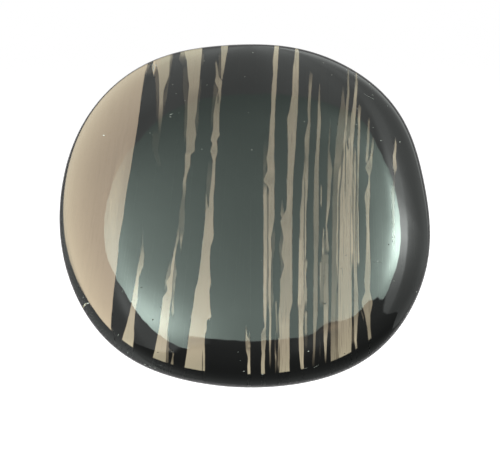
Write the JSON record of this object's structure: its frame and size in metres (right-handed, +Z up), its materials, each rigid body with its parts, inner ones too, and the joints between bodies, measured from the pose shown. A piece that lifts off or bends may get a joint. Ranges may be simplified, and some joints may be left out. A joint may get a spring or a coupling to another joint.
{
  "type": "obsidian disc",
  "caption": "Flat polished pebble of volcanic glass: a slightly out-of-round disc, domed on both faces, with smoky clear streaks through black glass.",
  "frame": {"origin": "middle of the bounding box at the level of the resting flat", "axes": "+Z up, through the stone's thickness; +X to the right across the streaks, the stone's longest way; +Y away from the viewer, along the streaks"},
  "size_m": [0.048, 0.046, 0.0059],
  "materials": {
    "banded_obsidian": "polished"
  },
  "bodies": {
    "root": {"obsidian_disc": "banded_obsidian"}
  },
  "joints": []
}
